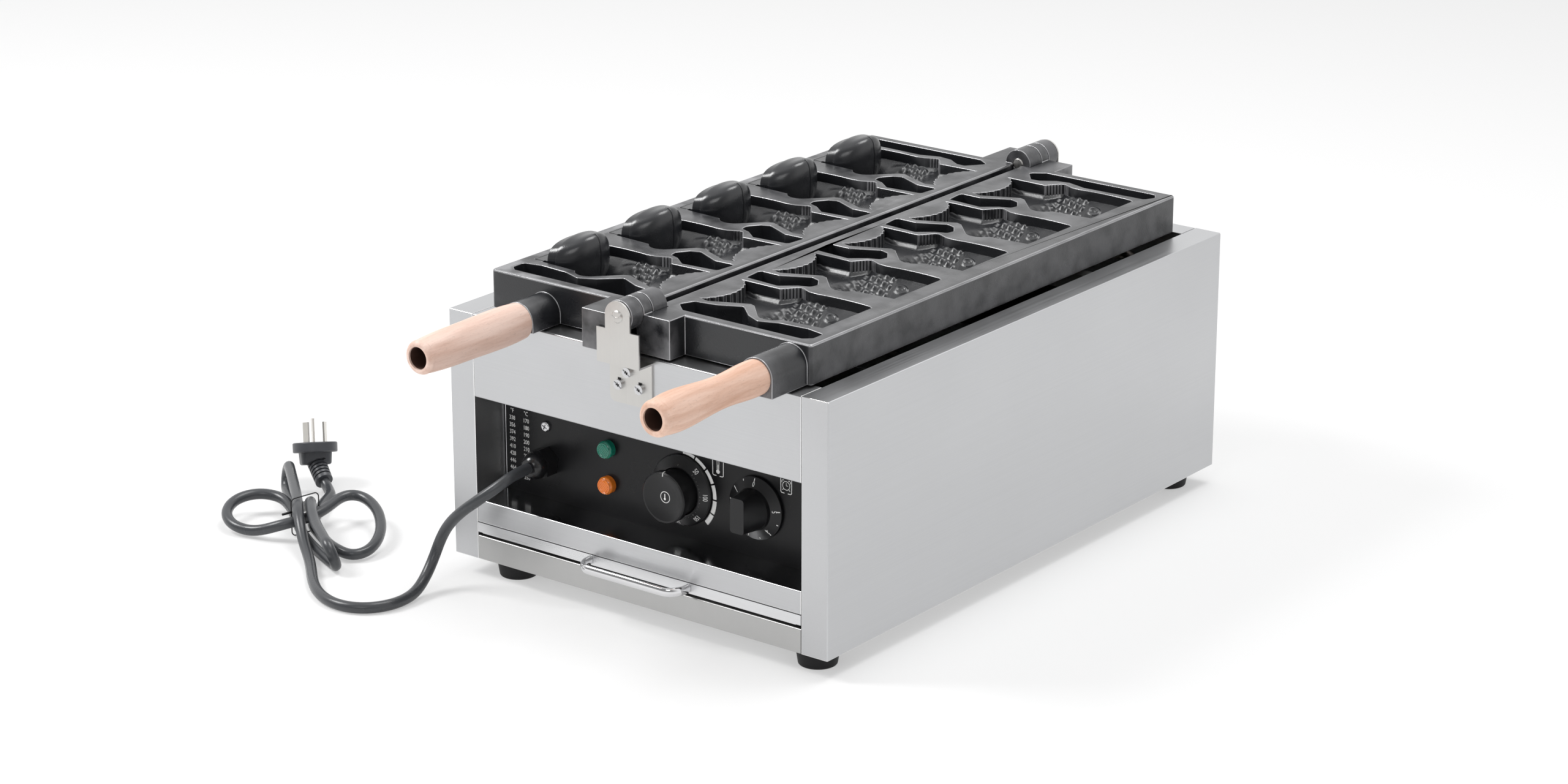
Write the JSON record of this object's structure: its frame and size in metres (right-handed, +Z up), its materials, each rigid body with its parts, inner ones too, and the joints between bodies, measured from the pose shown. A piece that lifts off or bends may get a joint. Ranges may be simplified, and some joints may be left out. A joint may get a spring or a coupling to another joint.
{
  "type": "taiyaki maker",
  "caption": "Countertop electric taiyaki maker: two swinging cast fish moulds with open-mouth cores on a steel case with a crumb tray, thermostat, timer and mains lead.",
  "frame": {"origin": "on the table under the middle of the machine's outline, handles included, the cord left out", "axes": "+X to the right seen from the controls, +Y from the controls to the back, +Z up"},
  "size_m": [0.6166, 0.6995, 0.2729],
  "materials": {
    "brushed_steel": "brushed stainless sheet",
    "bright_steel": "bright plated steel",
    "polished_chrome": "polished chrome",
    "coated_cast": "dark grained non-stick coating",
    "beech": "oiled beech",
    "panel_black": "matt black with white print",
    "knob_black": "satin black moulding",
    "gland_black": "black nylon",
    "control_plastic": "dark moulded plastic",
    "green_lens": "translucent green",
    "amber_lens": "translucent amber",
    "foot_rubber": "black rubber",
    "cord_rubber": "dark grey sheath with a soft sheen",
    "plug_black": "dark grey moulding",
    "pin_metal": "plated brass",
    "heater_sheath": "heat-tinted tube"
  },
  "bodies": {
    "case": {"side_panel_left": "brushed_steel", "side_panel_right": "brushed_steel", "front_panel": "brushed_steel", "back_panel": "brushed_steel", "back_panel_screws": "bright_steel", "base_plate": "brushed_steel", "control_panel": "panel_black", "control_shelf": "brushed_steel", "inner_partition": "brushed_steel", "tray_rail_left": "brushed_steel", "tray_rail_right": "brushed_steel", "foot_front_left": "foot_rubber", "foot_front_right": "foot_rubber", "foot_rear_left": "foot_rubber", "foot_rear_right": "foot_rubber", "foot_screws": "bright_steel", "hinge_bracket_front": "brushed_steel", "hinge_bracket_rear": "brushed_steel", "hinge_pin_front": "bright_steel", "hinge_pin_rear": "bright_steel", "bracket_screws": "bright_steel", "temperature_dial": "knob_black", "thermostat_body": "control_plastic", "timer_body": "control_plastic", "power_lamp": "green_lens", "heat_lamp": "amber_lens", "panel_screw": "bright_steel", "cable_gland_body": "gland_black", "cable_gland_nut": "gland_black", "cable_gland_locknut": "gland_black", "heater_left": "heater_sheath", "heater_right": "heater_sheath", "heater_support_front": "brushed_steel", "heater_support_rear": "brushed_steel", "terminal_block": "control_plastic", "power_cord_lead": "cord_rubber", "power_cord_hank": "cord_rubber", "power_cord_tail": "cord_rubber", "cord_tie": "bright_steel", "plug_body": "plug_black", "plug_pins": "pin_metal"},
    "left_mould": {"left_mould": "coated_cast", "mouth_core_1": "coated_cast", "mouth_core_2": "coated_cast", "mouth_core_3": "coated_cast", "mouth_core_4": "coated_cast", "mouth_core_5": "coated_cast", "left_handle": "beech", "left_handle_bolt": "bright_steel"},
    "right_mould": {"right_mould": "coated_cast", "right_handle": "beech", "right_handle_bolt": "bright_steel"},
    "crumb_tray": {"crumb_tray": "brushed_steel", "tray_handle": "polished_chrome"},
    "temperature_knob": {"temperature_knob": "knob_black", "thermostat_shaft": "bright_steel"},
    "timer_knob": {"timer_knob": "knob_black", "timer_shaft": "bright_steel"}
  },
  "joints": [
    {"name": "left_mould_swing", "type": "hinge", "parent": "case", "child": "left_mould", "pos_m": [0, 0, 0.253], "axis": [0, 1, 0], "range_deg": [0, 180]},
    {"name": "right_mould_swing", "type": "hinge", "parent": "case", "child": "right_mould", "pos_m": [0, 0, 0.253], "axis": [0, -1, 0], "range_deg": [0, 180]},
    {"name": "crumb_tray_slide", "type": "slide", "parent": "case", "child": "crumb_tray", "axis": [0, -1, 0], "range_m": [0, 0.4]},
    {"name": "temperature_turn", "type": "hinge", "parent": "case", "child": "temperature_knob", "pos_m": [0.02, -0.17325, 0.105], "axis": [0, 1, 0], "range_deg": [0, 283]},
    {"name": "timer_turn", "type": "hinge", "parent": "case", "child": "timer_knob", "pos_m": [0.092, -0.17325, 0.107], "axis": [0, 1, 0], "range_deg": [0, 275]}
  ]
}
